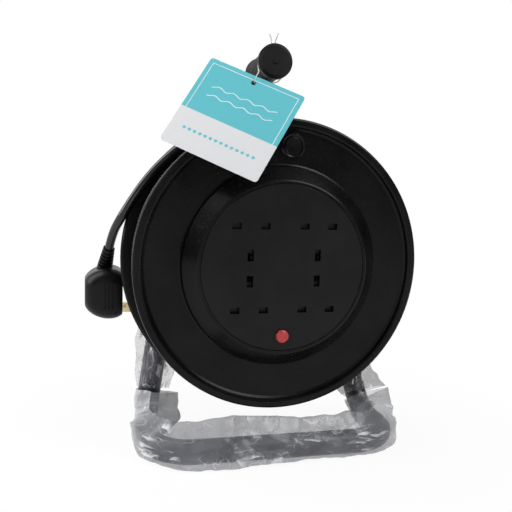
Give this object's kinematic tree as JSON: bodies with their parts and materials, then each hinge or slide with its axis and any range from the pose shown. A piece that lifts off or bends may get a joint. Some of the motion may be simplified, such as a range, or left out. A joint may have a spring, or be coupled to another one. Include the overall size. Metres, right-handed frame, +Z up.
{
  "type": "extension cord reel",
  "caption": "Open-drum extension cord reel on a bent tube stand with a carrying handle, panel sockets, thermal cut-out button and pull-out winding knob.",
  "frame": {"origin": "bottom centre of the reel's box without the free flex and plug, on the floor under the stand", "axes": "+X right as seen from the front, +Y from the socket panel to the back, +Z up"},
  "size_m": [0.2655, 0.1441, 0.3334],
  "materials": {
    "grey_tube": "satin powder coat",
    "steel": "zinc plated",
    "grip_black": "matt",
    "film": "thin translucent polythene",
    "card": "satin printed card",
    "string": "twisted cotton",
    "flex_black": "smooth sheath",
    "plug_black": "moulded satin",
    "pin_brass": "plated",
    "button_red": "gloss",
    "shutter_white": "moulded",
    "panel_black": "fine satin",
    "drum_black": "satin moulded"
  },
  "bodies": {
    "stand": {"stand_tube": "grey_tube", "handle_tube": "grey_tube", "spindle_boss": "grey_tube", "handle_grip": "grip_black", "spindle": "steel", "thrust_washer": "steel", "spindle_spacer": "steel", "retaining_washer": "steel", "spindle_clip": "steel", "base_film_sleeve": "film", "left_leg_film_sleeve": "film", "right_leg_film_sleeve": "film", "hang_tag": "card", "tag_string": "string", "tail_flex": "flex_black", "plug_strain_relief": "flex_black", "plug_body": "plug_black", "plug_fuse_drawer": "plug_black", "plug_earth_pin": "pin_brass", "plug_line_pins": "pin_brass"},
    "knob_guide": {"knob_guide": "steel"},
    "winding_knob": {"winding_knob": "drum_black", "winding_knob_cap": "drum_black"},
    "reset_button": {"reset_button": "button_red"},
    "shutter_lower_left": {"shutter_lower_left": "shutter_white"},
    "shutter_lower_right": {"shutter_lower_right": "shutter_white"},
    "shutter_upper_left": {"shutter_upper_left": "shutter_white"},
    "shutter_upper_right": {"shutter_upper_right": "shutter_white"},
    "drum": {"contact_block": "drum_black", "core_barrel": "drum_black", "cover_screws": "steel", "earth_bus_bar": "pin_brass", "flange_screws": "steel", "front_flange": "drum_black", "knob_collar": "drum_black", "live_bus_bar": "pin_brass", "neutral_bus_bar": "pin_brass", "rear_cover": "drum_black", "rear_flange": "drum_black", "socket_plate": "panel_black", "thermal_cut_out": "shutter_white", "winding_inner_layers": "flex_black", "winding_outer_layer": "flex_black"}
  },
  "joints": [
    {"name": "drum_spin", "type": "hinge", "parent": "stand", "child": "drum", "pos_m": [0, 0.00371, 0.151], "axis": [0, 1, 0], "continuous": true},
    {"name": "knob_pull", "type": "slide", "parent": "drum", "child": "knob_guide", "axis": [0, -1, 0], "range_m": [0, 0.018]},
    {"name": "knob_spin", "type": "hinge", "parent": "knob_guide", "child": "winding_knob", "pos_m": [0.0075, -0.03629, 0.2437], "axis": [0, 1, 0], "continuous": true},
    {"name": "reset_press", "type": "slide", "parent": "drum", "child": "reset_button", "axis": [0, 1, 0], "range_m": [0, 0.002], "stiffness_N_per_m": 1500, "springref_m": -0.001},
    {"name": "shutter_slide_lower_left", "type": "slide", "parent": "drum", "child": "shutter_lower_left", "axis": [0, 0, -1], "range_m": [0, 0.006], "stiffness_N_per_m": 150, "springref_m": -0.002},
    {"name": "shutter_slide_lower_right", "type": "slide", "parent": "drum", "child": "shutter_lower_right", "axis": [0, 0, -1], "range_m": [0, 0.006], "stiffness_N_per_m": 150, "springref_m": -0.002},
    {"name": "shutter_slide_upper_left", "type": "slide", "parent": "drum", "child": "shutter_upper_left", "axis": [0, 0, 1], "range_m": [0, 0.006], "stiffness_N_per_m": 150, "springref_m": -0.002},
    {"name": "shutter_slide_upper_right", "type": "slide", "parent": "drum", "child": "shutter_upper_right", "axis": [0, 0, 1], "range_m": [0, 0.006], "stiffness_N_per_m": 150, "springref_m": -0.002}
  ]
}
